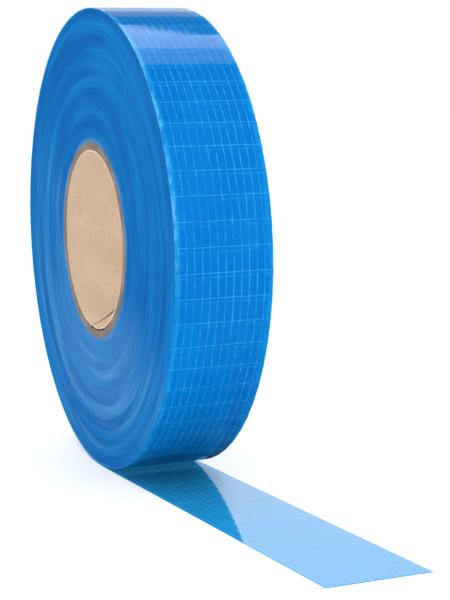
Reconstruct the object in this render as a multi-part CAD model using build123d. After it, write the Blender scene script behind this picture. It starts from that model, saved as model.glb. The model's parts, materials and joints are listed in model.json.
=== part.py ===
"""A roll of scrim-reinforced adhesive tape on a paper core, with its free end laid out flat.

Units are millimetres. The roll's axis is +Y through the origin, the middle of the core's bore.
+Z is up, and the roll stands on its tread, so the floor is at z = -ROLL_R. The tape leaves the
roll's lowest line and lies along +X.
"""

import os
from math import cos, radians, sin, sqrt, tan

from build123d import *

# The roll.
BORE_R = 38.1  # for a 3 inch spindle
PLY_THICK = 0.63
PLY_NAMES = [
    "core_inner_ply",
    "core_second_ply",
    "core_third_ply",
    "core_fourth_ply",
    "core_fifth_ply",
    "core_outer_ply",
]
ROLL_R = 98.0
WIDTH = 40.4

# The tape, from its outer face inwards.
FILM_THICK = 0.08
LONG_YARN_THICK = 0.06
CROSS_YARN_THICK = 0.05
ADHESIVE_THICK = 0.06
YARN_WIDE = 0.35
LONG_YARN_COUNT = 13
LONG_YARN_PITCH = 3.2
LONG_YARN_SHIFT = 0.6  # how far the yarns lie off the tape's centre line
CROSS_YARN_COUNT = 63  # in one outer turn
CROSS_YARN_PHASE = 2.65  # degrees, the first one's place round the roll

# The free end.
TAIL_REACH = 198.0  # from below the axis to the cut end
TAIL_DRIFT = 3.4  # degrees from square to the axis
TAIL_GAP = 0.05  # between the tail and the turning roll

CORE_R = BORE_R + len(PLY_NAMES) * PLY_THICK
FLOOR_Z = -ROLL_R
CROSS_YARN_STEP = 360 / CROSS_YARN_COUNT
CROSS_YARN_PITCH = radians(CROSS_YARN_STEP) * ROLL_R


def ring(outer, inner, width=WIDTH, centre=0.0):
    """A tube about the roll's axis."""
    profile = Plane.XZ * (Circle(outer) - Circle(inner))
    return Pos(0, centre, 0) * extrude(profile, amount=width / 2, both=True)


def core_plies():
    """The paper core's plies, one inside the other, from the bore outwards."""
    plies = {}
    for index, name in enumerate(PLY_NAMES):
        inner = BORE_R + index * PLY_THICK
        plies[name] = [ring(inner + PLY_THICK, inner)]
    return plies


def long_yarn_places():
    """Where the lengthwise yarns lie across the tape, from its centre line."""
    middle = (LONG_YARN_COUNT - 1) / 2
    return [LONG_YARN_SHIFT + (index - middle) * LONG_YARN_PITCH for index in range(LONG_YARN_COUNT)]


def cross_yarn_on_turn(outer, angle):
    """One crosswise yarn of the outer turn: a thin bar that follows the turn's curve."""
    swept = YARN_WIDE / outer
    sector = Polygon(
        (0, 0),
        (2 * outer, -outer * swept),
        (2 * outer, outer * swept),
        align=None,
    )
    annulus = Circle(outer) - Circle(outer - CROSS_YARN_THICK)
    profile = Plane.XZ * Rot(0, 0, angle) * (annulus & sector)
    return extrude(profile, amount=WIDTH / 2, both=True)


def outer_turn():
    """The outermost turn, layer by layer, and the solid pack of turns under it."""
    yarn_r = ROLL_R - FILM_THICK
    cross_r = yarn_r - LONG_YARN_THICK
    adhesive_r = cross_r - CROSS_YARN_THICK
    pack_r = adhesive_r - ADHESIVE_THICK
    return {
        "outer_turn_film": [ring(ROLL_R, yarn_r)],
        "outer_turn_long_yarns": [
            ring(yarn_r, cross_r, YARN_WIDE, place) for place in long_yarn_places()
        ],
        "outer_turn_cross_yarns": [
            cross_yarn_on_turn(cross_r, CROSS_YARN_PHASE + index * CROSS_YARN_STEP)
            for index in range(CROSS_YARN_COUNT)
        ],
        "outer_turn_adhesive": [ring(adhesive_r, pack_r)],
        "wound_tape": [ring(pack_r, CORE_R)],
    }


def tail_start(top):
    """How far from below the axis a tail layer starts, so that its top clears the turning roll."""
    height = top + TAIL_GAP
    return sqrt(2 * ROLL_R * height)


def drift(x):
    """How far the tail has moved along the axis at x."""
    return x * tan(radians(TAIL_DRIFT))


def strip(start, low, high, wide=WIDTH, centre=0.0):
    """A length of tape or yarn along the tail, between two heights over the floor."""
    half = wide / 2
    outline = Polygon(
        (start, centre - half + drift(start)),
        (TAIL_REACH, centre - half + drift(TAIL_REACH)),
        (TAIL_REACH, centre + half + drift(TAIL_REACH)),
        (start, centre + half + drift(start)),
        align=None,
    )
    return Pos(0, 0, FLOOR_Z + low) * extrude(outline, amount=high - low)


def cross_yarn_on_tail(along, low, high):
    """One crosswise yarn of the tail, square to the tail's edges and ending at them."""
    turn = radians(TAIL_DRIFT)
    bar = extrude(Rectangle(YARN_WIDE, WIDTH * cos(turn)), amount=high - low)
    return Pos(along, drift(along), FLOOR_Z + low) * Rot(0, 0, TAIL_DRIFT) * bar


def tail():
    """The free end, layer by layer: film below and adhesive on top."""
    long_low = FILM_THICK
    cross_low = long_low + LONG_YARN_THICK
    adhesive_low = cross_low + CROSS_YARN_THICK
    top = adhesive_low + ADHESIVE_THICK
    swing = WIDTH / 2 * sin(radians(TAIL_DRIFT)) + YARN_WIDE
    first = tail_start(adhesive_low) + swing
    count = int((TAIL_REACH - swing - first) / CROSS_YARN_PITCH) + 1
    return {
        "tail_film": [strip(tail_start(long_low), 0, long_low)],
        "tail_long_yarns": [
            strip(tail_start(cross_low), long_low, cross_low, YARN_WIDE, place)
            for place in long_yarn_places()
        ],
        "tail_cross_yarns": [
            cross_yarn_on_tail(first + index * CROSS_YARN_PITCH, cross_low, adhesive_low)
            for index in range(count)
        ],
        "tail_adhesive": [strip(tail_start(top), adhesive_low, top)],
    }


def write(nodes):
    """Write each node's solids to a STEP file with the node's name."""
    os.makedirs("parts", exist_ok=True)
    for name, solids in nodes.items():
        shape = solids[0] if len(solids) == 1 else Compound(children=solids)
        export_step(shape, f"parts/{name}.step")
        print(f"{name}: {len(solids)} solids, {shape.volume:.1f} mm3")


write(core_plies() | outer_turn() | tail())
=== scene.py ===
"""Looks for a roll of thread-reinforced adhesive tape on a paper core.

Lengths are in metres, in the part's own frame. The roll's axis is +Y through the origin, +Z is up,
and the roll stands on its tread. The tape leaves the roll's lowest line and lies along +X. Angles
round the axis are counted from +X towards +Z.
"""

import json
import logging
import math
import random
from collections.abc import Callable, Sequence
from dataclasses import dataclass
from enum import Enum

import bmesh
import bpy
from mathutils import Matrix, Vector, noise


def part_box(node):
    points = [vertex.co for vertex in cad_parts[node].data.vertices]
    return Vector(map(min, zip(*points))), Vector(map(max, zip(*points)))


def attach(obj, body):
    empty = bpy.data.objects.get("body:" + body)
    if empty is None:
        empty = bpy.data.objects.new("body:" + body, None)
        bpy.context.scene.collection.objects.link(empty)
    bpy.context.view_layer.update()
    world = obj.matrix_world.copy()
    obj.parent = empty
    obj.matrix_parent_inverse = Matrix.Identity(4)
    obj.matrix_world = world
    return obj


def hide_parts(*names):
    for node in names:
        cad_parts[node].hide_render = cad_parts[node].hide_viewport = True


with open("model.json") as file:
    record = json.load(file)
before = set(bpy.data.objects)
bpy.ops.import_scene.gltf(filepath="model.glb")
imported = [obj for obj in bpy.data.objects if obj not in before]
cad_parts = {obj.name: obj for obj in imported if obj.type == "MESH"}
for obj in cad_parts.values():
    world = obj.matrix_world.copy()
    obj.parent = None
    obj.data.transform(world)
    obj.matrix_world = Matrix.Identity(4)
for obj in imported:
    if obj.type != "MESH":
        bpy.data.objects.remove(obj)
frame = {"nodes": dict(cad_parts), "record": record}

log = logging.getLogger("tape_roll")

MM = 0.001
FULL_TURN = 2 * math.pi
ORIGIN = Vector((0, 0, 0))
AXIS = Vector((0, 1, 0))

Colour = tuple[float, float, float]
Edge = tuple[float, float]  # where a soft edge is 0 and where it is 1
Place = Callable[[float, float], Vector]
Socket = bpy.types.NodeSocket
Value = Socket | float


class Body(Enum):
    """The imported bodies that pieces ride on."""

    ROLL = "roll"
    TAIL = "tail"


class Slot(Enum):
    """The record's material slots."""

    CORE_LINER = "core_liner"
    CORE_PAPER = "core_paper"
    WOUND_TAPE = "wound_tape"
    FILM = "film"
    TAIL_FILM = "tail_film"
    YARN = "yarn"
    ADHESIVE = "adhesive"


@dataclass(frozen=True)
class RollSizes:
    """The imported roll's own sizes, which every piece is built from.

    Args:
        bore_r: radius of the core's bore.
        ply: thickness of one paper ply.
        ply_names: the core's plies from the bore outwards.
        core_r: outside radius of the core.
        pack_r: outside radius of the turns under the outermost one.
        cross_r: outside radius of the outermost turn's crosswise yarns.
        long_r: outside radius of its lengthwise yarns.
        roll_r: outside radius of the roll.
        half_width: half of the tape's width.
    """

    bore_r: float
    ply: float
    ply_names: tuple[str, ...]
    core_r: float
    pack_r: float
    cross_r: float
    long_r: float
    roll_r: float
    half_width: float

    @classmethod
    def from_frame(cls) -> "RollSizes":
        """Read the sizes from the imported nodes.

        Returns:
            The sizes.
        """
        plies = [name for name in frame["nodes"] if name.startswith("core_")]
        plies.sort(key=outside_radius)
        bore = next(m for m in frame["record"]["mounts"] if m["name"] == "core_bore")
        bore_r = bore["dims"]["r_mm"] * MM
        core_r = outside_radius(plies[-1])
        return cls(
            bore_r=bore_r,
            ply=(core_r - bore_r) / len(plies),
            ply_names=tuple(plies),
            core_r=core_r,
            pack_r=outside_radius("wound_tape"),
            cross_r=outside_radius("outer_turn_cross_yarns"),
            long_r=outside_radius("outer_turn_long_yarns"),
            roll_r=outside_radius("outer_turn_film"),
            half_width=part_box("outer_turn_film")[1].y,
        )


@dataclass(frozen=True)
class TailSizes:
    """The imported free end's sizes.

    Args:
        floor: height of the surface it lies on.
        starts: how far from below the axis each layer starts, by node name.
        reach: how far from below the axis the cut end is.
        drift: how far it moves along the axis for each metre of reach.
    """

    floor: float
    starts: dict[str, float]
    reach: float
    drift: float

    @classmethod
    def from_frame(cls, half_width: float) -> "TailSizes":
        """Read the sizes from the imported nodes.

        Args:
            half_width: half of the tape's width.

        Returns:
            The sizes.
        """
        names = [name for name in frame["nodes"] if name.startswith("tail_")]
        low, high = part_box("tail_film")
        return cls(
            floor=low.z,
            starts={name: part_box(name)[0].x for name in names},
            reach=high.x,
            drift=(high.y - half_width) / high.x,
        )


@dataclass(frozen=True)
class Scrim:
    """The thread mesh in the tape.

    Args:
        long_places: where the lengthwise yarns lie across the tape, from its centre line.
        cross_count: crosswise yarns in the outermost turn.
        cross_phase: angle of one crosswise yarn on the outermost turn, in degrees.
        yarn_width: width of a yarn.
        ridge: how far the film stands up over a lengthwise yarn.
        flatness: how straight the film is drawn from one crosswise yarn to the next, up to 1.
    """

    long_places: tuple[float, ...]
    cross_count: int = 63
    cross_phase: float = 2.65
    yarn_width: float = 0.30 * MM
    ridge: float = 0.0015 * MM
    flatness: float = 0.7

    @classmethod
    def from_pitch(cls, count: int = 13, pitch: float = 3.2 * MM, shift: float = 0.6 * MM) -> "Scrim":
        """Space the lengthwise yarns evenly.

        Args:
            count: how many there are.
            pitch: from one to the next.
            shift: how far the middle one lies off the centre line.

        Returns:
            The mesh.
        """
        middle = (count - 1) / 2
        return cls(long_places=tuple(shift + (index - middle) * pitch for index in range(count)))

    @property
    def cross_step(self) -> float:
        """The angle from one crosswise yarn to the next."""
        return FULL_TURN / self.cross_count

    @property
    def reach(self) -> float:
        """How far from a yarn's middle the layer over it is lifted."""
        return 0.9 * self.yarn_width

    def cross_angle(self, index: int) -> float:
        """The angle of a crosswise yarn of the outermost turn."""
        return math.radians(self.cross_phase) + index * self.cross_step

    def off_long(self, across: float) -> float:
        """How far a place is from the nearest lengthwise yarn."""
        return min(abs(across - yarn) for yarn in self.long_places)

    def lines_across(self, half: float, shares: Sequence[float], more: set[float]) -> list[float]:
        """Say where a layer's mesh has its lines, so that it can rise over each lengthwise yarn.

        Args:
            half: half of the tape's width.
            shares: where the lines are round each yarn, as shares of its reach.
            more: other lines.

        Returns:
            The lines' places across the tape, in order.
        """
        lines = {-half, half} | more
        for yarn in self.long_places:
            lines |= {yarn + share * self.reach for share in shares}
        return sorted(line for line in lines if abs(line) <= half)

    def hollow(self, across: float) -> float:
        """How far a layer lies below its ridges over the lengthwise yarns."""
        return self.ridge * (1 - smoothstep(self.reach, 0.0, self.off_long(across)))

    def off_cross(self, angle: float) -> float:
        """The angle from the nearest crosswise yarn of the outermost turn."""
        steps = (angle - math.radians(self.cross_phase)) / self.cross_step
        return abs(steps - round(steps)) * self.cross_step

    def sag(self, radius: float, angle: float) -> float:
        """How far the film, drawn straight between crosswise yarns, lies inside its circle.

        Args:
            radius: the circle's radius.
            angle: where on the circle.

        Returns:
            The distance.
        """
        half = self.cross_step / 2
        chord = radius * math.cos(half) / math.cos(half - self.off_cross(angle))
        return self.flatness * (radius - chord)


# Meshes


def outside_radius(node: str) -> float:
    """How far a packed ring reaches from the roll's axis."""
    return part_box(node)[1].x


def wander(point: Vector, size: float, seed: float = 0.0) -> float:
    """Smooth noise from -1 to 1.

    Args:
        point: where.
        size: how far apart its bumps are.
        seed: picks another pattern.

    Returns:
        The noise.
    """
    return noise.noise(point / size + Vector((seed, 2.3 * seed, -1.7 * seed)))


def smoothstep(low: float, high: float, value: float) -> float:
    """0 at low and 1 at high, with soft ends."""
    share = min(1.0, max(0.0, (value - low) / (high - low)))
    return share * share * (3 - 2 * share)


def on_turn(radius: float, angle: float, along: float) -> Vector:
    """The point at a radius and angle round the roll's axis, and a distance along it."""
    return Vector((radius * math.cos(angle), along, radius * math.sin(angle)))


def angle_of(point: Vector) -> float:
    """A point's angle round the roll's axis."""
    return math.atan2(point.z, point.x)


def radius_of(point: Vector) -> float:
    """A point's distance from the roll's axis."""
    return math.hypot(point.x, point.z)


def run_of(start: float, end: float, steps: int) -> list[float]:
    """Evenly spaced places from start to end, both included."""
    return [start + index * (end - start) / steps for index in range(steps + 1)]


def spun(profile: Sequence[tuple[float, float]], steps: int) -> bmesh.types.BMesh:
    """A closed outline turned once round the roll's axis.

    Args:
        profile: (radius, distance along the axis) of each corner, in order.
        steps: how many steps the turn has.

    Returns:
        The closed ring.
    """
    bm = bmesh.new()
    corners = [bm.verts.new((radius, along, 0)) for radius, along in profile]
    edges = [bm.edges.new(pair) for pair in zip(corners, corners[1:] + corners[:1])]
    bmesh.ops.spin(
        bm,
        geom=corners + edges,
        cent=ORIGIN,
        axis=AXIS,
        angle=FULL_TURN,
        steps=steps,
        use_merge=True,
    )
    bmesh.ops.recalc_face_normals(bm, faces=bm.faces)
    return bm


def sheet_over(columns: Sequence[float], rows: Sequence[float], place: Place) -> bmesh.types.BMesh:
    """A grid whose lines are where they are wanted, laid over a surface.

    Args:
        columns: the first coordinate of each line one way.
        rows: the second coordinate of each line the other way.
        place: the surface, as a function of the two coordinates.

    Returns:
        The open sheet.
    """
    bm = bmesh.new()
    across, down = len(columns) - 1, len(rows) - 1
    bmesh.ops.create_grid(bm, x_segments=across, y_segments=down, size=0.5)
    for vert in bm.verts:
        column = round((vert.co.x + 0.5) * across)
        row = round((vert.co.y + 0.5) * down)
        vert.co = place(columns[column], rows[row])
    return bm


def thicken(bm: bmesh.types.BMesh, thickness: float) -> None:
    """Give a sheet a second side and a rim, with its faces outwards.

    Args:
        bm: the sheet, changed in place.
        thickness: how far the second side is; below 0 is to the other side.
    """
    bmesh.ops.solidify(bm, geom=list(bm.faces), thickness=thickness)
    bmesh.ops.recalc_face_normals(bm, faces=bm.faces)


def face_outwards(bm: bmesh.types.BMesh) -> None:
    """Keep a closed shell's faces pointing out of it."""
    if bm.calc_volume(signed=True) < 0:
        bmesh.ops.reverse_faces(bm, faces=bm.faces)


def yarn_bar(length: float, width: float, height: float, cuts: int) -> bmesh.types.BMesh:
    """A flattened straight yarn along Y, closed at its ends.

    Args:
        length: its length.
        width: its width along X.
        height: its height along Z.
        cuts: how many times it is cut across, so that it can bend.

    Returns:
        The closed bar.
    """
    bm = bmesh.new()
    bmesh.ops.create_cone(
        bm, cap_ends=True, segments=6, radius1=0.5, radius2=0.5, depth=1.0,
        matrix=Matrix.Rotation(math.pi / 2, 4, "X"),
    )
    sides = [edge for edge in bm.edges if abs(edge.verts[0].co.y - edge.verts[1].co.y) > 0.5]
    bmesh.ops.subdivide_edges(bm, edges=sides, cuts=cuts)
    bmesh.ops.scale(bm, vec=(width, length, height), verts=bm.verts)
    return bm


def merged(parts: Sequence[bmesh.types.BMesh]) -> bmesh.types.BMesh:
    """Put several bmeshes together.

    Args:
        parts: the bmeshes, which are freed.

    Returns:
        One bmesh that holds them all.
    """
    whole = bmesh.new()
    for part in parts:
        scratch = bpy.data.meshes.new("scratch")
        part.to_mesh(scratch)
        part.free()
        whole.from_mesh(scratch)
        bpy.data.meshes.remove(scratch)
    return whole


@dataclass(frozen=True)
class Piece:
    """How a finished mesh joins the scene.

    Args:
        name: the piece's name.
        body: the body that it rides on.
        material: its finish.
        slot: the material slot that it takes its finish from.
        node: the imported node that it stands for, or None.
        crease: the angle in degrees past which an edge stays sharp.
    """

    name: str
    body: Body
    material: bpy.types.Material
    # slot: the record's material slot for the piece; not used.
    slot: Slot
    node: str | None = None
    crease: float = 40.0

    def add(self, bm: bmesh.types.BMesh) -> bpy.types.Object:
        """Make the object.

        Args:
            bm: its shape, which is freed.

        Returns:
            The object, riding on its body.
        """
        mesh = bpy.data.meshes.new(self.name)
        bm.to_mesh(mesh)
        bm.free()
        mesh.shade_smooth()
        mesh.set_sharp_from_angle(angle=math.radians(self.crease))
        mesh.materials.append(self.material)
        obj = bpy.data.objects.new(self.name, mesh)
        bpy.context.scene.collection.objects.link(obj)
        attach(obj, self.body.value)
        if self.node:
            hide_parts(self.node)
        return obj


# Materials


class Graph:
    """A node tree, built from coordinates towards the shader."""

    def __init__(self, tree: bpy.types.NodeTree) -> None:
        """Start with an empty tree.

        Args:
            tree: the material's or world's tree.
        """
        self.tree = tree
        tree.nodes.clear()

    def add(self, kind: str, sockets: dict | None = None, **settings: object) -> bpy.types.Node:
        """Add a node.

        Args:
            kind: the node's type, without "ShaderNode".
            sockets: input name or number to a value, or to an output that feeds it.
            settings: the node's own properties.

        Returns:
            The node.
        """
        node = self.tree.nodes.new(f"ShaderNode{kind}")
        for name, value in settings.items():
            setattr(node, name, value)
        for key, value in (sockets or {}).items():
            if isinstance(value, Socket):
                self.tree.links.new(value, node.inputs[key])
            else:
                node.inputs[key].default_value = value
        return node

    def math(self, operation: str, first: Value, second: Value = 0.0) -> Socket:
        """The result of one Math node."""
        return self.add("Math", {0: first, 1: second}, operation=operation).outputs[0]

    def plus(self, first: Value, second: Value) -> Socket:
        """The sum of two values."""
        return self.math("ADD", first, second)

    def times(self, first: Value, second: Value) -> Socket:
        """The product of two values."""
        return self.math("MULTIPLY", first, second)

    def clamped(self, value: Socket, low: float, high: float) -> Socket:
        """0 where value is low and 1 where it is high, with soft ends."""
        node = self.add(
            "MapRange", {"Value": value, "From Min": low, "From Max": high},
            interpolation_type="SMOOTHSTEP",
        )
        return node.outputs["Result"]

    def between(self, value: Socket, rise: Edge, fall: Edge) -> Socket:
        """1 between two soft edges and 0 outside them."""
        return self.times(self.clamped(value, *rise), self.clamped(value, *fall))

    def place(self) -> Socket:
        """The point's place in the part's frame."""
        return self.add("TexCoord").outputs["Object"]

    def parts_of(self, vector: Socket) -> tuple[Socket, Socket, Socket]:
        """A vector's X, Y and Z."""
        node = self.add("SeparateXYZ", {0: vector})
        return node.outputs[0], node.outputs[1], node.outputs[2]

    def vector(self, x: Value, y: Value, z: Value) -> Socket:
        """A vector from its X, Y and Z."""
        return self.add("CombineXYZ", {0: x, 1: y, 2: z}).outputs[0]

    def turn_coordinates(self, round_scale: float, radius_scale: float, width_scale: float) -> Socket:
        """Coordinates that follow the wound turns, with no seam.

        Args:
            round_scale: how fast a pattern changes round the axis.
            radius_scale: how fast it changes outwards, for each metre.
            width_scale: how fast it changes along the axis, for each metre.

        Returns:
            The coordinates.
        """
        x, along, z = self.parts_of(self.place())
        radius = self.radius()
        about_x = self.times(self.math("DIVIDE", x, radius), round_scale)
        about_z = self.times(self.math("DIVIDE", z, radius), round_scale)
        outwards = self.plus(self.times(radius, radius_scale), self.times(along, width_scale))
        return self.vector(about_x, about_z, outwards)

    def radius(self) -> Socket:
        """The point's distance from the roll's axis."""
        x, _, z = self.parts_of(self.place())
        return self.add("VectorMath", {0: self.vector(x, 0.0, z)}, operation="LENGTH").outputs["Value"]

    def noise(self, vector: Socket, scale: float, detail: float = 2.0, rough: float = 0.5) -> Socket:
        """Noise from 0 to 1."""
        sockets = {"Vector": vector, "Scale": scale, "Detail": detail, "Roughness": rough}
        return self.add("TexNoise", sockets).outputs["Fac"]

    def mix(self, share: Socket | float, first: Socket | Colour, second: Socket | Colour) -> Socket:
        """A colour between two others.

        Args:
            share: how much of the second colour.
            first: one colour, fixed or from a node.
            second: the other.

        Returns:
            The mixed colour.
        """
        node = self.add("Mix", {0: share}, data_type="RGBA")
        for key, value in ((6, first), (7, second)):
            if isinstance(value, Socket):
                self.tree.links.new(value, node.inputs[key])
            else:
                node.inputs[key].default_value = (*value, 1.0)
        return node.outputs[2]

    def blend(self, share: Socket, first: Value, second: Value) -> Socket:
        """A number between two others."""
        return self.add("Mix", {0: share, 2: first, 3: second}, data_type="FLOAT").outputs[0]

    def bump(self, height: Socket, distance: float, strength: float = 1.0) -> Socket:
        """A normal from a height.

        Args:
            height: the height, from 0 to 1.
            distance: how high 1 is.
            strength: how much of it counts.

        Returns:
            The normal.
        """
        node = self.add("Bump", {"Height": height, "Distance": distance, "Strength": strength})
        return node.outputs["Normal"]

    def finish(self, surface: Socket, output: str = "OutputMaterial") -> None:
        """Send a shader to the output."""
        self.add(output, {"Surface": surface})


def new_material(name: str) -> tuple[bpy.types.Material, Graph]:
    """Make a material.

    Args:
        name: its name.

    Returns:
        The material and its empty tree.
    """
    material = bpy.data.materials.new(name)
    material.use_nodes = True
    return material, Graph(material.node_tree)


@dataclass(frozen=True)
class PaperFinish:
    """Kraft paperboard: mottled fibre with dark and pale flecks.

    Args:
        name: the material's name.
        pale: its lighter colour.
        dark: its darker colour.
        fleck: colour of the flecks.
        sizes: the roll's sizes, for the ply lines and the torn rim.
        torn: colour of the torn fibres and of the painted edge highlight at the rim, or None for a clean
            cut with ply lines.
        torn_edge: how far in from the rim the torn fibres fade out, and where they are whole.
    """

    name: str
    pale: Colour
    dark: Colour
    fleck: Colour
    sizes: RollSizes
    torn: Colour | None = None
    torn_edge: Edge = (1.8 * MM, 0.4 * MM)

    def material(self) -> bpy.types.Material:
        """Build the material.

        Returns:
            The material.
        """
        made, g = new_material(self.name)
        place = g.place()
        fibre = g.noise(place, 900.0, 5.0, 0.65)
        cloud = g.noise(place, 60.0, 3.0)
        colour = g.mix(g.clamped(cloud, 0.35, 0.7), self.dark, self.pale)
        specks = g.add("TexVoronoi", {"Vector": place, "Scale": 620.0}, feature="F1").outputs["Distance"]
        sparse = g.clamped(g.noise(place, 130.0, 2.0), 0.42, 0.55)
        speck = g.times(g.clamped(specks, 0.26, 0.12), sparse)
        colour = g.mix(g.times(speck, 0.55), colour, self.fleck)
        lined = self.with_ply_lines if self.torn is None else self.with_torn_rim
        colour = lined(g, colour)
        shader = g.add(
            "BsdfPrincipled",
            {
                "Base Color": colour,
                "Roughness": 0.85,
                "IOR": 1.4,
                "Specular IOR Level": 0.25,
                "Normal": g.bump(fibre, 0.08 * MM, 0.6),
            },
        )
        g.finish(shader.outputs[0])
        return made

    def with_ply_lines(self, g: Graph, colour: Socket) -> Socket:
        """Draw thin dark lines where the plies are glued together.

        Args:
            g: the material's tree.
            colour: the paper's colour.

        Returns:
            The colour with the lines.
        """
        steps = g.math("DIVIDE", g.math("SUBTRACT", g.radius(), self.sizes.bore_r), self.sizes.ply)
        nearest = g.math("ABSOLUTE", g.math("SUBTRACT", steps, g.math("ROUND", steps)))
        line = g.clamped(nearest, 0.16, 0.02)
        return g.mix(g.times(line, 0.5), colour, self.fleck)

    def with_torn_rim(self, g: Graph, colour: Socket) -> Socket:
        """Whiten the rim where the liner's fibres are torn and as a painted edge highlight, mostly on
        the free end's side.

        Args:
            g: the material's tree.
            colour: the paper's colour.

        Returns:
            The colour with the torn rim.
        """
        place = g.place()
        x, along, _ = g.parts_of(place)
        fading, whole = (self.sizes.half_width - depth for depth in self.torn_edge)
        rim = g.clamped(g.math("ABSOLUTE", along), fading, whole)
        # Partly torn fibres, partly painted edge highlight: the whitening fades out away from the free
        # end's side, where the rim catches the light.
        rim = g.times(rim, g.clamped(x, -24 * MM, 4 * MM))
        patchy = g.clamped(g.noise(place, 75.0, 4.0, 0.65), 0.44, 0.58)
        return g.mix(g.times(rim, patchy), colour, self.torn)


@dataclass(frozen=True)
class PackFinish:
    """Many turns of blue film: slit edges on the sides and the next turn on the tread.

    Args:
        name: the material's name.
        sizes: the roll's sizes.
        deep: colour of the slit edges.
        light: colour of their lighter turns.
        side_sheen: colour of the painted sheen, in arcs on the lower, left part of the slit edges and
            below the core.
        first_turns: colour of the turns next to the core.
        tread: colour of the next turn, seen through the outermost one.
        rim: colour of the tread near its edges, where light gets in from the side.
        lifted: colour of the painted sheen along the near rim, stronger towards the top.
        sheen_radius: radius inside which the turns below the axis are painted paler, as sheen.
        sheen_depth: how far under the axis that painted sheen starts.
        core_glow: how far the core's colour carries into the turns next to it.
    """

    name: str
    sizes: RollSizes
    deep: Colour = (0.0, 0.118, 0.41)
    light: Colour = (0.0, 0.192, 0.53)
    side_sheen: Colour = (0.075, 0.28, 0.60)
    first_turns: Colour = (0.08, 0.27, 0.53)
    tread: Colour = (0.0, 0.225, 0.655)
    rim: Colour = (0.03, 0.40, 0.80)
    lifted: Colour = (0.46, 0.70, 0.92)
    sheen_radius: Edge = (86 * MM, 56 * MM)
    sheen_depth: Edge = (0.0, -42 * MM)
    core_glow: float = 3.0 * MM

    def material(self) -> bpy.types.Material:
        """Build the material.

        Returns:
            The material.
        """
        made, g = new_material(self.name)
        fine = g.noise(g.turn_coordinates(1.6, 1900.0, 0.0), 1.0, 3.0, 0.6)
        radius = g.radius()
        on_tread = g.math("GREATER_THAN", radius, self.sizes.pack_r - 0.12 * MM)
        colour = g.mix(on_tread, self.side_colour(g, fine, radius), self.tread_colour(g))
        shader = g.add(
            "BsdfPrincipled",
            {
                "Base Color": colour,
                "Roughness": g.plus(0.2, g.times(fine, 0.2)),
                "IOR": 1.5,
                "Specular IOR Level": 0.08,
                "Normal": g.bump(fine, 0.05 * MM, 0.5),
            },
        )
        g.finish(shader.outputs[0])
        return made

    def side_colour(self, g: Graph, fine: Socket, radius: Socket) -> Socket:
        """Colour the slit edges.

        Args:
            g: the material's tree.
            fine: noise that changes from turn to turn.
            radius: the point's distance from the axis.

        Returns:
            The colour.
        """
        broad = g.noise(g.turn_coordinates(1.1, 170.0, 0.0), 1.0, 2.0, 0.55)
        streak = g.plus(g.times(fine, 0.35), g.times(broad, 0.65))
        colour = g.mix(g.clamped(streak, 0.38, 0.68), self.deep, self.light)
        x, _, z = g.parts_of(g.place())
        # Painted sheen: the lower, left part of the sides is mixed towards a paler blue, in streaky arcs
        # and below the core.
        low = g.clamped(g.plus(z, g.times(x, 0.6)), 22 * MM, -22 * MM)
        sheen_streaks = g.noise(g.turn_coordinates(0.75, 210.0, 0.0), 1.0, 3.0, 0.62)
        sheen_arcs = g.times(g.clamped(sheen_streaks, 0.48, 0.66), g.clamped(fine, 0.10, 0.55))
        # Painted sheen below the core, at the smaller radii.
        slack = g.times(g.clamped(radius, *self.sheen_radius), g.clamped(z, *self.sheen_depth))
        pale = g.plus(g.times(sheen_arcs, 0.55), g.times(slack, 0.38))
        colour = g.mix(g.times(low, g.plus(0.06, pale)), colour, self.side_sheen)
        core_r = self.sizes.core_r
        inner = g.clamped(radius, core_r + self.core_glow, core_r)
        ring = g.times(inner, g.clamped(broad, 0.30, 0.55))
        return g.mix(g.times(ring, 0.85), colour, self.first_turns)

    def tread_colour(self, g: Graph) -> Socket:
        """Colour the tread.

        Args:
            g: the material's tree.

        Returns:
            The colour.
        """
        _, along, z = g.parts_of(g.place())
        half = self.sizes.half_width
        cloud = g.noise(g.turn_coordinates(2.5, 0.0, 60.0), 1.0, 2.0)
        rim_light_patches = g.noise(g.turn_coordinates(9.0, 0.0, 700.0), 1.0, 3.0, 0.6)
        # Painted light: the tread is lighter in patches near both edges, where light gets in from the
        # side.
        edge = g.clamped(g.math("ABSOLUTE", along), half - 3.4 * MM, half - 1.0 * MM)
        bright = g.times(edge, g.plus(0.35, g.clamped(rim_light_patches, 0.40, 0.62)))
        middle = g.mix(g.times(g.clamped(cloud, 0.3, 0.7), 0.25), self.tread, self.rim)
        lit = g.mix(bright, middle, self.rim)
        # Painted sheen: a patchy whitish band along the near rim, fading out towards the bottom of the
        # tread.
        near = g.clamped(along, 2.4 * MM - half, 1.0 * MM - half)
        gap = g.times(near, g.clamped(z, -35 * MM, 25 * MM))
        patchy = g.clamped(g.noise(g.turn_coordinates(14.0, 0.0, 420.0), 1.0, 3.0, 0.6), 0.40, 0.60)
        return g.mix(g.times(gap, patchy), lit, self.lifted)


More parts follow.
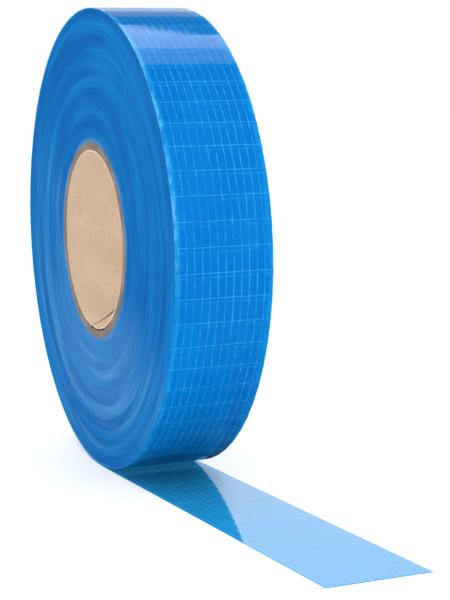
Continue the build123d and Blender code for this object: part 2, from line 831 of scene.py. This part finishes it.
@dataclass(frozen=True)
class ClearFinish:
    """A thin see-through layer that tints what is behind it.

    Args:
        name: the material's name.
        tint: what one surface lets through.
        body: colour of the light that the layer scatters.
        milky: the share that it scatters.
        gloss: colour of its reflections, or None where another layer is bonded to it.
        roughness: how soft its reflections are.
        grain: how strong the fine ripple in its surface is.
    """

    name: str
    tint: Colour
    body: Colour
    milky: float
    gloss: Colour | None = None
    roughness: float = 0.06
    grain: float = 0.12

    def material(self) -> bpy.types.Material:
        """Build the material.

        Returns:
            The material.
        """
        made, g = new_material(self.name)
        place = g.place()
        ripple = g.noise(place, 210.0, 3.0, 0.5)
        normal = g.bump(ripple, 0.05 * MM, self.grain)
        clear = g.add("BsdfTransparent", {"Color": (*self.tint, 1.0)}).outputs[0]
        scatter = g.add("BsdfDiffuse", {"Color": (*self.body, 1.0), "Normal": normal}).outputs[0]
        haze = g.times(g.plus(0.7, g.times(ripple, 0.6)), self.milky)
        surface = g.add("MixShader", {0: haze, 1: clear, 2: scatter}).outputs[0]
        if self.gloss is not None:
            surface = self.varnished(g, surface, normal)
        g.finish(surface)
        return made

    def varnished(self, g: Graph, surface: Socket, normal: Socket) -> Socket:
        """Put the gloss on the layer's outer side.

        Args:
            g: the material's tree.
            surface: what is under the gloss.
            normal: the rippled normal.

        Returns:
            The whole surface.
        """
        mirror = g.add("Fresnel", {"IOR": 1.48, "Normal": normal}).outputs[0]
        inner_side = g.add("NewGeometry").outputs["Backfacing"]
        share = g.times(mirror, g.math("SUBTRACT", 1.0, inner_side))
        shine = {"Color": (*self.gloss, 1.0), "Roughness": self.roughness, "Normal": normal}
        gloss = g.add("BsdfGlossy", shine).outputs[0]
        return g.add("MixShader", {0: share, 1: surface, 2: gloss}).outputs[0]


@dataclass(frozen=True)
class YarnFinish:
    """Fine twisted yarn whose brightness comes and goes along its length.

    Args:
        name: the material's name.
        pale: where it is brightest.
        dim: where the film has sunk round it.
        broken: how much of it is dim, from 0 to 1.
    """

    name: str
    pale: Colour
    dim: Colour
    broken: float = 0.5

    def material(self) -> bpy.types.Material:
        """Build the material.

        Returns:
            The material.
        """
        made, g = new_material(self.name)
        place = g.place()
        twist = g.noise(place, 420.0, 3.0, 0.6)
        stretch = g.noise(place, 55.0, 2.0)
        share = g.plus(g.times(twist, 0.78), g.times(stretch, 0.22))
        start = 0.30 + 0.2 * self.broken
        shader = g.add(
            "BsdfPrincipled",
            {
                "Base Color": g.mix(g.clamped(share, start, start + 0.22), self.dim, self.pale),
                "Roughness": 0.6,
                "Sheen Weight": 0.2,
                "Normal": g.bump(twist, 0.04 * MM, 0.7),
            },
        )
        g.finish(shader.outputs[0])
        return made


YARN_ON_ROLL = YarnFinish("yarn_on_roll", (0.19, 0.61, 0.94), (0.0, 0.28, 0.72))
CROSS_YARN_ON_ROLL = YarnFinish("cross_yarn_on_roll", (0.20, 0.62, 0.94), (0.0, 0.31, 0.75), broken=0.1)
YARN_NEXT_TURN = YarnFinish("yarn_next_turn", (0.06, 0.44, 0.86), (0.0, 0.28, 0.74), broken=0.55)
YARN_SINGLE = YarnFinish("yarn_single", (0.0, 0.44, 0.86), (0.0, 0.40, 0.82))

BLUE_FILM = ClearFinish(
    "blue_film", tint=(0.70, 0.96, 1.0), body=(0.0, 0.32, 0.80), milky=0.06, gloss=(0.85, 0.95, 1.0)
)
BLUE_FILM_SINGLE = ClearFinish(
    "blue_film_single", tint=(0.09, 0.74, 0.92), body=(0.0, 0.50, 0.92), milky=0.5
)
ADHESIVE_ON_ROLL = ClearFinish(
    "adhesive_on_roll", tint=(0.93, 0.98, 1.0), body=(0.0, 0.35, 0.80), milky=0.03
)
ADHESIVE_SINGLE = ClearFinish(
    "adhesive_single", tint=(0.99, 1.0, 1.0), body=(0.5, 0.8, 0.95), milky=0.01, gloss=(0.95, 0.98, 1.0)
)


@dataclass(frozen=True)
class FloorFinish:
    """A plain pale matt table top, lit evenly from below.

    Args:
        name: the material's name.
        colour: its colour.
        glow: how bright the light through it is, the same all over.
    """

    name: str = "studio_floor"
    colour: Colour = (0.90, 0.90, 0.90)
    glow: float = 0.25

    def material(self) -> bpy.types.Material:
        """Build the material.

        Returns:
            The material.
        """
        made, g = new_material(self.name)
        near = tuple(0.985 * part for part in self.colour)
        shader = g.add(
            "BsdfPrincipled",
            {
                "Base Color": g.mix(g.noise(g.place(), 30.0, 2.0), near, self.colour),
                "Roughness": 0.6,
                "Specular IOR Level": 0.2,
                "Emission Color": (1.0, 1.0, 1.0, 1.0),
                "Emission Strength": self.glow,
            },
        )
        g.finish(shader.outputs[0])
        return made


# The roll


@dataclass
class Core:
    """The spiral-wound paper core.

    Args:
        sizes: the roll's sizes.
        seam_angle: where the liner's butt seam meets the near face, in radians.
        seam_twist: how far the seam turns for each metre along the core, in radians.
        seam_gap: how wide the seam is.
        fray: how far the torn fibres stand off the liner's rim.
        liner_steps: how many steps go round the liner.
        liner_rows: how many steps go along it, between its rims.
        ply_steps: how many steps go round each outer ply.
    """

    sizes: RollSizes
    seam_angle: float = math.radians(-96.0)
    seam_twist: float = -math.radians(1430.0)
    seam_gap: float = 1.5 * MM
    fray: float = 0.22 * MM
    liner_steps: int = 288
    liner_rows: int = 16
    ply_steps: int = 240

    def build(self) -> list[bpy.types.Object]:
        """Make every ply.

        Returns:
            The pieces, from the bore outwards.
        """
        s = self.sizes
        liner = PaperFinish(
            "core_liner_paper",
            pale=(0.68, 0.53, 0.395),
            dark=(0.62, 0.475, 0.345),
            fleck=(0.22, 0.14, 0.09),
            sizes=s,
            torn=(0.70, 0.67, 0.58),
        ).material()
        edge = PaperFinish(
            "core_ply_paper",
            pale=(0.30, 0.245, 0.205),
            dark=(0.21, 0.17, 0.14),
            fleck=(0.13, 0.08, 0.06),
            sizes=s,
        ).material()
        first = self.liner(liner)
        outer = [self.ply(index, name, edge) for index, name in enumerate(s.ply_names[1:], start=1)]
        return [first, *outer]

    def seam_at(self, along: float) -> float:
        """The seam's angle at a place along the core."""
        return self.seam_angle + (along + self.sizes.half_width) * self.seam_twist

    def liner(self, material: bpy.types.Material) -> bpy.types.Object:
        """Make the inner ply, a slanting strip bent round until its edges nearly meet.

        Args:
            material: its finish.

        Returns:
            The piece.
        """
        s = self.sizes
        gap = self.seam_gap / s.bore_r
        width = 2 * s.half_width
        rim = (0.0, 0.25 * MM, 0.6 * MM)
        inset = 1.2 * MM
        middle = run_of(inset, width - inset, self.liner_rows)
        rows = [*rim, *middle, *(width - row for row in reversed(rim))]

        def place(share: float, row: float) -> Vector:
            """A point of the liner's bore side.

            Args:
                share: how far round from the seam, up to 1.
                row: how far along from the near face.

            Returns:
                The point.
            """
            along = row - s.half_width
            angle = self.seam_at(along) + gap / 2 + share * (FULL_TURN - gap)
            start = on_turn(s.bore_r, angle, along)
            rim_share = 1 - smoothstep(0.0, 0.7 * MM, min(row, width - row))
            ragged = 0.4 + wander(start, 1.1 * MM) + 0.6 * wander(start, 0.4 * MM, 4.0)
            torn = rim_share * self.fray * ragged
            lifted = 0.3 * MM * smoothstep(0.02, 0.0, share)
            fuzz = 0.012 * MM * wander(start, 0.9 * MM, 2.0)
            inward = max(0.0, torn) + lifted + fuzz
            slack = rim_share * 0.07 * MM * (0.5 + 0.5 * wander(start, 0.8 * MM, 9.0))
            return on_turn(s.bore_r - inward, angle, math.copysign(abs(along) - slack, along))

        bm = sheet_over(run_of(0.0, 1.0, self.liner_steps), rows, place)
        thicken(bm, -0.9 * s.ply)
        face_outwards(bm)
        return Piece("core_liner", Body.ROLL, material, Slot.CORE_LINER, s.ply_names[0]).add(bm)

    def ply(self, index: int, name: str, material: bpy.types.Material) -> bpy.types.Object:
        """Make one of the outer plies, with its cut end a little proud or short of its neighbours.

        Args:
            index: its number, counted from the liner's 0.
            name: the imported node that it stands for.
            material: its finish.

        Returns:
            The piece.
        """
        s = self.sizes
        inner = s.bore_r + index * s.ply
        outer = inner + s.ply
        bevel = 0.07 * MM
        crown = 0.01 * MM
        half = s.half_width - (0.02 + 0.05 * (index % 2)) * MM
        far = (
            (outer, half - bevel),
            (outer - bevel, half),
            ((inner + outer) / 2, half + crown),
            (inner + bevel, half),
            (inner, half - bevel),
        )
        near = tuple((radius, -along) for radius, along in reversed(far))
        bm = spun(near + far, self.ply_steps)
        for vert in bm.verts:
            fuzz = 0.02 * MM * wander(vert.co, 0.7 * MM, index)
            waviness = 0.03 * MM * wander(vert.co, 6 * MM, index)
            vert.co.y -= math.copysign(abs(fuzz + waviness), vert.co.y)
        return Piece(f"{name}_paper", Body.ROLL, material, Slot.CORE_PAPER, name, 50.0).add(bm)


@dataclass
class WoundPack:
    """The turns under the outermost one, with every turn's slit edge.

    Args:
        sizes: the roll's sizes.
        turns: how many turns there are.
        play: how far a turn may stand off its place along the axis.
        steps: how many steps go round.
    """

    sizes: RollSizes
    turns: int = 224
    play: float = 0.22 * MM
    steps: int = 192

    def shifts(self) -> list[float]:
        """Say how far each turn stands off its place: slow waves, quick ones and a little jitter.

        Returns:
            The distances, from the core outwards.
        """
        draw = random.Random(11)
        found = []
        for turn in range(self.turns + 1):
            slow = noise.noise(Vector((turn / 31.0, 3.7, 0.0)))
            quick = noise.noise(Vector((turn / 6.0, 8.1, 0.0)))
            found.append(self.play * (0.62 * slow + 0.28 * quick + 0.10 * draw.uniform(-1, 1)))
        return found

    def build(self) -> list[bpy.types.Object]:
        """Make the pack.

        Returns:
            The one piece.
        """
        s = self.sizes
        half = s.half_width - self.play
        shifts = self.shifts()
        radii = run_of(s.core_r, s.pack_r, self.turns)
        near = [(radius, -half + shift) for radius, shift in zip(radii, shifts)]
        far = [(radius, half + shift) for radius, shift in zip(radii, shifts)]
        bm = spun(near + far[::-1], self.steps)
        for vert in bm.verts:
            radius = radius_of(vert.co)
            about = Vector((vert.co.x / radius, vert.co.z / radius, radius / (9 * MM)))
            swell = 0.5 * noise.noise(1.3 * about) + 0.25 * noise.noise(3.1 * about)
            held = smoothstep(s.pack_r, s.pack_r - 6 * MM, radius)
            vert.co.y += self.play * swell * (0.35 + 0.65 * held)
        material = PackFinish("wound_tape_film", s).material()
        piece = Piece("wound_tape_turns", Body.ROLL, material, Slot.WOUND_TAPE, "wound_tape", 1.6)
        return [piece.add(bm)]


@dataclass
class OuterTurn:
    """The outermost turn: film over a thread mesh, and the next turn's threads showing below.

    Args:
        sizes: the roll's sizes.
        scrim: the thread mesh.
        film_thick: thickness of the film's shell.
        pillow: how far the film sinks between its high places.
        tuck: how far its edges are drawn in.
        cross_tall: height of a crosswise yarn.
        cross_bends: how many times a crosswise yarn is cut across.
        cross_stray: how far it wanders from straight.
        cross_lean: how far its ends may lean.
        weave: how far the lengthwise yarns are drawn to and fro.
        long_stray: how far they wander.
        cross_deep: how far inside their layer's outer side their middles lie.
        lag: how far round the next turn's crosswise yarns lie from the outermost one's.
        proud: how far those stand out of the pack.
    """

    sizes: RollSizes
    scrim: Scrim
    film_thick: float = 0.03 * MM
    pillow: float = 0.006 * MM
    tuck: float = 0.05 * MM
    cross_tall: float = 0.045 * MM
    cross_bends: int = 16
    cross_stray: float = 0.11 * MM
    cross_lean: float = 0.12 * MM
    weave: float = 0.09 * MM
    long_stray: float = 0.16 * MM
    cross_deep: float = 0.025 * MM
    lag: float = math.radians(-1.0)
    proud: float = 0.02 * MM

    def build(self) -> list[bpy.types.Object]:
        """Make the film and the thread layers, and dress the adhesive.

        Returns:
            The new pieces.
        """
        s = self.sizes
        adhesive = frame["nodes"]["outer_turn_adhesive"].data.materials
        adhesive.clear()
        adhesive.append(ADHESIVE_ON_ROLL.material())
        own = Piece(
            "cross_yarns_on_roll",
            Body.ROLL,
            CROSS_YARN_ON_ROLL.material(),
            Slot.YARN,
            "outer_turn_cross_yarns",
        )
        below = Piece("cross_yarns_next_turn", Body.ROLL, YARN_NEXT_TURN.material(), Slot.YARN)
        return [
            self.film(BLUE_FILM.material()),
            self.long_yarns(YARN_ON_ROLL.material()),
            self.cross_yarns(own, s.cross_r - self.cross_deep, 0.0),
            self.cross_yarns(below, s.pack_r + self.proud, self.lag),
        ]

    def film(self, material: bpy.types.Material) -> bpy.types.Object:
        """Make the film, which stands up a little over each yarn.

        Args:
            material: its finish.

        Returns:
            The piece.
        """
        s, scrim = self.sizes, self.scrim
        reach = scrim.reach
        edge = s.half_width - 0.3 * MM
        columns = []
        for index in range(scrim.cross_count):
            middle = scrim.cross_angle(index)
            near = [middle + share * reach / s.roll_r for share in (-1.0, -0.45, 0.0, 0.45, 1.0)]
            open_span = scrim.cross_step - 2 * reach / s.roll_r
            columns += near + [near[-1] + open_span * share for share in (0.33, 0.66)]
        columns.append(columns[0] + FULL_TURN)
        rows = scrim.lines_across(s.half_width, (-1.0, -0.4, 0.4, 1.0), {-edge, edge})

        def place(angle: float, along: float) -> Vector:
            """A point of the film's outer face.

            Args:
                angle: how far round the axis.
                along: how far along it.

            Returns:
                The point.
            """
            flat = on_turn(s.roll_r, angle, along)
            sunk = self.pillow * (0.5 + 0.5 * wander(flat, 11 * MM)) + scrim.hollow(along)
            tucked = self.tuck * smoothstep(s.half_width - 0.5 * MM, s.half_width, abs(along))
            return on_turn(s.roll_r - scrim.sag(s.roll_r, angle) - sunk - tucked, angle, along)

        bm = sheet_over(columns, rows, place)
        bmesh.ops.remove_doubles(bm, verts=bm.verts, dist=0.002 * MM)
        bmesh.ops.recalc_face_normals(bm, faces=bm.faces)
        if sum(face.normal.dot(face.calc_center_median()) for face in bm.faces) < 0:
            bmesh.ops.reverse_faces(bm, faces=bm.faces)
        thicken(bm, self.film_thick)
        return Piece("film_on_roll", Body.ROLL, material, Slot.FILM, "outer_turn_film").add(bm)

    def long_yarns(self, material: bpy.types.Material) -> bpy.types.Object:
        """Make the lengthwise yarns, each drawn a little to and fro by the crosswise ones.

        Args:
            material: their finish.

        Returns:
            The piece.
        """
        s, scrim = self.sizes, self.scrim
        middle = (s.long_r + s.cross_r) / 2
        half, tall = scrim.yarn_width / 2, 0.35 * (s.long_r - s.cross_r)
        rings = []
        for index, across in enumerate(scrim.long_places):
            profile = [
                (middle + tall * math.sin(turn), across + half * math.cos(turn))
                for turn in (step * math.pi / 3 for step in (0, 1, 2, 3, -2, -1))
            ]
            ring = spun(profile, 6 * scrim.cross_count)
            for vert in ring.verts:
                angle = angle_of(vert.co)
                weave = self.weave * math.sin(angle * scrim.cross_count + index * 2.1)
                stray = self.long_stray * wander(on_turn(s.long_r, angle, 0.0), 14 * MM, index)
                along = min(s.half_width, vert.co.y + weave + stray)
                radius = radius_of(vert.co) - 0.7 * scrim.sag(s.long_r, angle)
                vert.co = on_turn(radius, angle, along)
            rings.append(ring)
        piece = Piece("long_yarns_on_roll", Body.ROLL, material, Slot.YARN, "outer_turn_long_yarns")
        return piece.add(merged(rings))

    def cross_yarns(self, piece: Piece, radius: float, phase: float) -> bpy.types.Object:
        """Make a layer of crosswise yarns round the roll.

        Args:
            piece: how the layer joins the scene.
            radius: how far from the axis the yarns' middles lie.
            phase: how far they are turned from the outermost turn's own yarns.

        Returns:
            The piece's object.
        """
        s, scrim = self.sizes, self.scrim
        draw = random.Random(5)
        bars = []
        for index in range(scrim.cross_count):
            bar = yarn_bar(2 * s.half_width, scrim.yarn_width, self.cross_tall, self.cross_bends)
            lean = self.cross_lean * draw.uniform(-1, 1)
            for vert in bar.verts:
                vert.co.x += self.cross_stray * noise.noise(Vector((vert.co.y / (7 * MM), index, phase)))
                vert.co.x += lean * vert.co.y / s.half_width
            turn = Matrix.Rotation(math.pi / 2 - scrim.cross_angle(index) - phase, 4, "Y")
            bmesh.ops.transform(bar, matrix=turn @ Matrix.Translation((0, 0, radius)), verts=bar.verts)
            bars.append(bar)
        return piece.add(merged(bars))


# The free end


@dataclass
class FreeEnd:
    """The end of the tape, laid out flat with its adhesive upwards.

    Args:
        sizes: the roll's sizes.
        tail: the free end's sizes.
        scrim: the thread mesh.
        ripple: how far the laid tape lifts off the floor.
        step: how long a step of a layer's mesh is.
        long_bends: how many times a lengthwise yarn is cut across.
        cross_bends: how many times a crosswise yarn is.
        weave: how far the lengthwise yarns are drawn to and fro.
        stray: how far the crosswise ones wander from straight.
    """

    sizes: RollSizes
    tail: TailSizes
    scrim: Scrim
    ripple: float = 0.12 * MM
    step: float = 1.5 * MM
    long_bends: int = 90
    cross_bends: int = 16
    weave: float = 0.07 * MM
    stray: float = 0.1 * MM

    def lift(self, x: float, across: float) -> float:
        """How far the tape is off the floor.

        Args:
            x: how far from below the axis.
            across: how far from the tape's centre line.

        Returns:
            The height.
        """
        free = smoothstep(25 * MM, 80 * MM, x)
        wave = 0.5 + 0.5 * wander(Vector((x, 0.4 * across, 0.0)), 38 * MM, 3.0)
        return free * self.ripple * wave

    def point(self, x: float, across: float, height: float) -> Vector:
        """A place on the tape: x from below the axis, across from its centre line."""
        z = self.tail.floor + height + self.lift(x, across)
        return Vector((x, across + self.tail.drift * x, z))

    def heights(self, node: str) -> tuple[float, float]:
        """How far a packed layer's underside and its top are over the floor."""
        low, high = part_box(node)
        return low.z - self.tail.floor, high.z - self.tail.floor

    def spans(self, start: float) -> list[float]:
        """Evenly spaced places from a start to the cut end, about a step apart."""
        return run_of(start, self.tail.reach, round((self.tail.reach - start) / self.step))

    def build(self) -> list[bpy.types.Object]:
        """Returns:
            The pieces.
        """
        yarn = YARN_SINGLE.material()
        film = Piece(
            "film_free_end", Body.TAIL, BLUE_FILM_SINGLE.material(), Slot.TAIL_FILM, "tail_film"
        )
        tack = Piece(
            "adhesive_free_end", Body.TAIL, ADHESIVE_SINGLE.material(), Slot.ADHESIVE, "tail_adhesive"
        )
        base = self.layer(film)
        top = self.layer(tack, ridged=True)
        long_yarns = self.long_yarns(yarn)
        cross_yarns = self.cross_yarns(yarn)
        return [base, top, long_yarns, cross_yarns]

    def layer(self, piece: Piece, ridged: bool = False) -> bpy.types.Object:
        """Make one full-width layer.

        Args:
            piece: how the layer joins the scene.
            ridged: whether its top stands up over each yarn.

        Returns:
            The piece's object.
        """
        low, high = self.heights(piece.node)
        rows = self.scrim.lines_across(self.sizes.half_width, (-1.0, 0.0, 1.0), set())

        def place(x: float, across: float) -> Vector:
            """A point of the layer's top."""
            return self.point(x, across, high - self.scrim.hollow(across) * ridged)

        bm = sheet_over(self.spans(self.tail.starts[piece.node]), rows, place)
        thicken(bm, high - low - 2 * self.scrim.ridge * ridged)
        return piece.add(bm)

    def long_yarns(self, material: bpy.types.Material) -> bpy.types.Object:
        """Make the lengthwise yarns.

        Args:
            material: their finish.

        Returns:
            The piece.
        """
        node = "tail_long_yarns"
        start = self.tail.starts[node]
        low, high = self.heights(node)
        length = self.tail.reach - start
        bars = []
        for index, across in enumerate(self.scrim.long_places):
            bar = yarn_bar(length, self.scrim.yarn_width, high - low, self.long_bends)
            for vert in bar.verts:
                x = start + vert.co.y + length / 2
                weave = self.weave * math.sin(x * self.scrim.cross_count / self.sizes.roll_r + index)
                vert.co = self.point(x, across + vert.co.x + weave, (low + high) / 2 + vert.co.z)
            bars.append(bar)
        return Piece("long_yarns_free_end", Body.TAIL, material, Slot.YARN, node).add(merged(bars))

    def cross_yarns(self, material: bpy.types.Material) -> bpy.types.Object:
        """Make the crosswise yarns, square to the tape's edges.

        Args:
            material: their finish.

        Returns:
            The piece.
        """
        node = "tail_cross_yarns"
        low, high = self.heights(node)
        half = self.sizes.half_width
        lean = math.atan(self.tail.drift)
        swing = half * math.sin(lean) + self.scrim.yarn_width
        pitch = self.scrim.cross_step * self.sizes.roll_r
        x = self.tail.starts[node] + half * math.sin(lean)
        bars = []
        while x < self.tail.reach - swing:
            bar = yarn_bar(2 * half, self.scrim.yarn_width, high - low, self.cross_bends)
            for vert in bar.verts:
                stray = self.stray * noise.noise(Vector((vert.co.y / (7 * MM), x / MM, 0.0)))
                along = x + vert.co.x + stray - vert.co.y * self.tail.drift
                vert.co = self.point(along, vert.co.y, (low + high) / 2 + vert.co.z)
            bars.append(bar)
            x += pitch
        return Piece("cross_yarns_free_end", Body.TAIL, material, Slot.YARN, node).add(merged(bars))


# The studio


@dataclass(frozen=True)
class StudioLight:
    """Even white light, with white soft boxes and black flags that show only in reflections.

    Edges in "over" are degrees over the roll, from 0 in front of the cut end to 180 behind the roll.
    Other edges are parts of the direction's unit vector, along the axis where nothing else is said.

    Args:
        even: brightness all round.
        flag: brightness of the flags.
        flag_behind: the side flag's edge along X.
        flag_near: its edge along the axis.
        flag_top: its upper edge.
        horizon: how softly the floor's side meets the upper one.
        below: brightness under the horizon, where nothing is flagged.
        below_edge: how far down that is reached.
        lane: the band in which the tread mirrors the soft boxes.
        key: brightness of the narrow soft box.
        key_over: its front edge.
        key_back: its back edge, which leans by key_lean along the axis.
        key_lean: degrees over for the whole way along the axis.
        fill: brightness of the soft box in front of it.
        fill_over: its front edge.
        walls: brightness of the wall behind the roll, on the near and the far side.
        walls_over: the wall's upper edge.
        walls_split: where its two sides meet.
    """

    even: float = 1.24
    flag: float = 0.03
    flag_behind: Edge = (-0.45, -0.65)
    flag_near: Edge = (0.10, 0.02)
    flag_top: Edge = (0.60, 0.50)
    horizon: Edge = (-0.01, 0.01)
    below: float = 1.0
    below_edge: Edge = (-0.40, -0.10)
    lane: tuple[Edge, Edge] = ((0.20, 0.28), (0.60, 0.50))
    key: float = 1.95
    key_over: Edge = (113.0, 114.0)
    key_back: Edge = (159.12, 157.68)
    key_lean: float = 88.2
    fill: float = 0.95
    fill_over: Edge = (99.0, 101.0)
    walls: tuple[float, float] = (0.85, 1.5)
    walls_over: Edge = (143.0, 160.0)
    walls_split: Edge = (0.362, 0.376)

    def build(self) -> None:
        """Make the world."""
        world = bpy.data.worlds.new("studio_light")
        world.use_nodes = True
        bpy.context.scene.world = world
        g = Graph(world.node_tree)
        rays = g.add("LightPath").outputs
        level = g.blend(rays["Is Glossy Ray"], self.even, self.mirrored(g))
        level = g.blend(rays["Is Camera Ray"], level, 1.0)
        light = g.add("Background", {"Color": g.vector(level, level, level), "Strength": 1.0})
        g.finish(light.outputs[0], "OutputWorld")

    def mirrored(self, g: Graph) -> Socket:
        """Say how bright each direction is in a reflection.

        Args:
            g: the world's tree.

        Returns:
            The brightness.
        """
        x, y, z = g.parts_of(g.add("TexCoord").outputs["Generated"])
        behind = g.times(g.clamped(x, *self.flag_behind), g.clamped(y, *self.flag_near))
        lane = g.between(y, *self.lane)
        flagged = g.times(behind, g.clamped(z, *self.flag_top))
        around = g.blend(flagged, self.even, self.flag)
        above = g.blend(lane, around, self.boxes(g, x, y, z))
        unflagged = g.math("SUBTRACT", 1.0, g.math("MAXIMUM", behind, lane))
        lit = g.times(unflagged, g.clamped(z, *self.below_edge))
        below = g.blend(lit, self.flag, self.below)
        return g.blend(g.clamped(z, *self.horizon), below, above)

    def boxes(self, g: Graph, x: Socket, y: Socket, z: Socket) -> Socket:
        """Say how bright the soft boxes and the gaps between them are.

        Args:
            g: the world's tree.
            x: the direction's X.
            y: its Y.
            z: its Z.

        Returns:
            The brightness.
        """
        over = g.math("DEGREES", g.math("ARCTAN2", z, x))
        leaning = g.clamped(g.plus(over, g.times(y, self.key_lean)), *self.key_back)
        key = g.times(g.clamped(over, *self.key_over), leaning)
        fill = g.between(over, self.fill_over, self.key_over[::-1])
        wall = g.blend(g.clamped(y, *self.walls_split), *self.walls)
        level = g.blend(fill, g.blend(key, self.flag, self.key), self.fill)
        return g.blend(g.clamped(over, *self.walls_over), level, wall)


@dataclass
class Studio:
    """The floor, the light and the camera.

    Args:
        sizes: the roll's sizes.
        floor_radius: how far the floor reaches.
        camera_place: the camera's place, in roll radii.
        heading: which way it looks, in degrees from +Y towards -X.
        pitch: how far it looks up, in degrees.
        roll: how far it leans, in degrees.
        lens: its focal length in millimetres.
        sensor: its sensor's width in millimetres.
        far: how far it sees.
    """

    sizes: RollSizes
    floor_radius: float = 9.0
    camera_place: tuple[float, float, float] = (6.594, -2.333, 0.6445)
    heading: float = 67.39
    pitch: float = -7.563
    roll: float = -0.985
    lens: float = 95.31
    sensor: float = 36.0
    far: float = 50.0

    def build(self) -> None:
        """Make all three."""
        self.floor()
        StudioLight().build()
        self.camera()

    def floor(self) -> None:
        """Make a wide pale surface that the roll stands on, left out of reflections."""
        bm = bmesh.new()
        bmesh.ops.create_circle(bm, cap_ends=True, segments=96, radius=self.floor_radius)
        bmesh.ops.translate(bm, vec=(0, 0, -self.sizes.roll_r), verts=bm.verts)
        mesh = bpy.data.meshes.new("studio_floor")
        bm.to_mesh(mesh)
        bm.free()
        mesh.materials.append(FloorFinish().material())
        obj = bpy.data.objects.new("studio_floor", mesh)
        obj.visible_glossy = False
        bpy.context.scene.collection.objects.link(obj)

    def camera(self) -> None:
        """Place a long lens, low and to the free end's side."""
        data = bpy.data.cameras.new("camera")
        data.lens = self.lens
        data.sensor_width = self.sensor
        data.clip_end = self.far
        obj = bpy.data.objects.new("camera", data)
        turn = (
            Matrix.Rotation(math.radians(self.heading), 4, "Z")
            @ Matrix.Rotation(math.radians(90 + self.pitch), 4, "X")
            @ Matrix.Rotation(math.radians(self.roll), 4, "Z")
        )
        obj.matrix_world = Matrix.Translation(self.sizes.roll_r * Vector(self.camera_place)) @ turn
        bpy.context.scene.collection.objects.link(obj)
        bpy.context.scene.camera = obj
        bpy.context.scene.view_settings.view_transform = "Standard"


def main() -> None:
    """Build the roll, its free end and the studio."""
    logging.basicConfig(level=logging.INFO, format="%(message)s")
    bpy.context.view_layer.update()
    sizes = RollSizes.from_frame()
    scrim = Scrim.from_pitch()
    free_end = FreeEnd(sizes, TailSizes.from_frame(sizes.half_width), scrim)
    for assembly in (Core(sizes), WoundPack(sizes), OuterTurn(sizes, scrim), free_end):
        for piece in assembly.build():
            triangles = sum(len(face.vertices) - 2 for face in piece.data.polygons)
            log.info("%s: %d triangles", piece.name, triangles)
    Studio(sizes).build()


if __name__ == "__main__":
    main()
